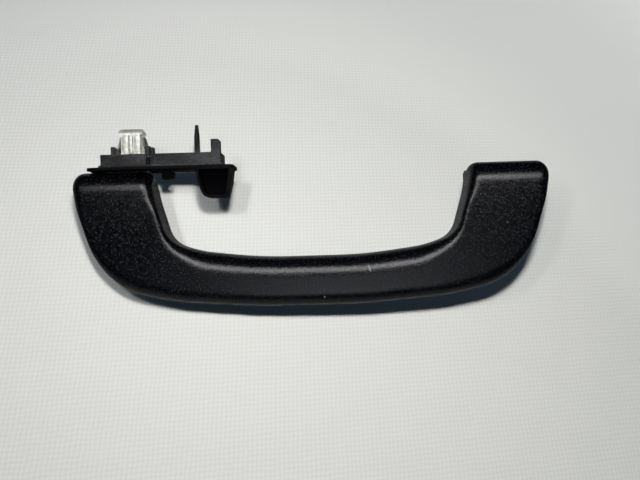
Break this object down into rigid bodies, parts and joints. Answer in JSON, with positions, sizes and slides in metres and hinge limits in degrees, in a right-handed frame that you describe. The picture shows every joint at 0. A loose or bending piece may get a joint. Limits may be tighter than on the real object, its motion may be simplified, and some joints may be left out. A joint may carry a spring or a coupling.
{
  "type": "roof grab handle",
  "caption": "Fold-down roof grab handle: a hollow black grip hinged on two clip-in brackets, the left one with a coat hook.",
  "frame": {"origin": "centre of the left bracket's roof-side seating face", "axes": "+X along the handle from the coat hook end to the plain end, +Z from the seating face into the roof, +Y away from the cabin side, the way the grip folds"},
  "size_m": [0.236, 0.0418, 0.0919],
  "materials": {
    "grip_plastic": "fine grain, satin",
    "core_plastic": "plain moulded",
    "trim_plastic": "fine grain, satin",
    "damper_plastic": "plain moulded",
    "bush_plastic": "smooth",
    "seal_rubber": "smooth",
    "steel": "drawn wire, bright",
    "zinc_steel": "bright zinc on spring sheet"
  },
  "bodies": {
    "left_bracket": {"left_bracket_core": "core_plastic", "left_trim_plate": "trim_plastic", "left_spring_clip": "zinc_steel", "left_lug_bushes": "bush_plastic", "damper_housing": "damper_plastic", "damper_lid": "damper_plastic", "damper_seal": "seal_rubber"},
    "grip": {"grip_front_shell": "grip_plastic", "grip_back_cover": "grip_plastic", "cover_screws": "steel", "left_hinge_pin": "steel", "right_hinge_pin": "steel", "damper_rotor": "bush_plastic"},
    "right_bracket": {"right_bracket_core": "core_plastic", "right_trim_plate": "trim_plastic", "right_spring_clip": "zinc_steel", "right_lug_bushes": "bush_plastic", "return_spring": "steel"}
  },
  "joints": [
    {"name": "grip_hinge", "type": "hinge", "parent": "left_bracket", "child": "grip", "pos_m": [0, 0, -0.0185], "axis": [1, 0, 0], "range_deg": [0, 90]},
    {"name": "right_bracket_hinge", "type": "hinge", "parent": "grip", "child": "right_bracket", "pos_m": [0.1631, 0, -0.0185], "axis": [1, 0, 0], "range_deg": [0, 90], "stiffness_Nm_per_rad": 0.05, "springref_deg": -28.65}
  ]
}
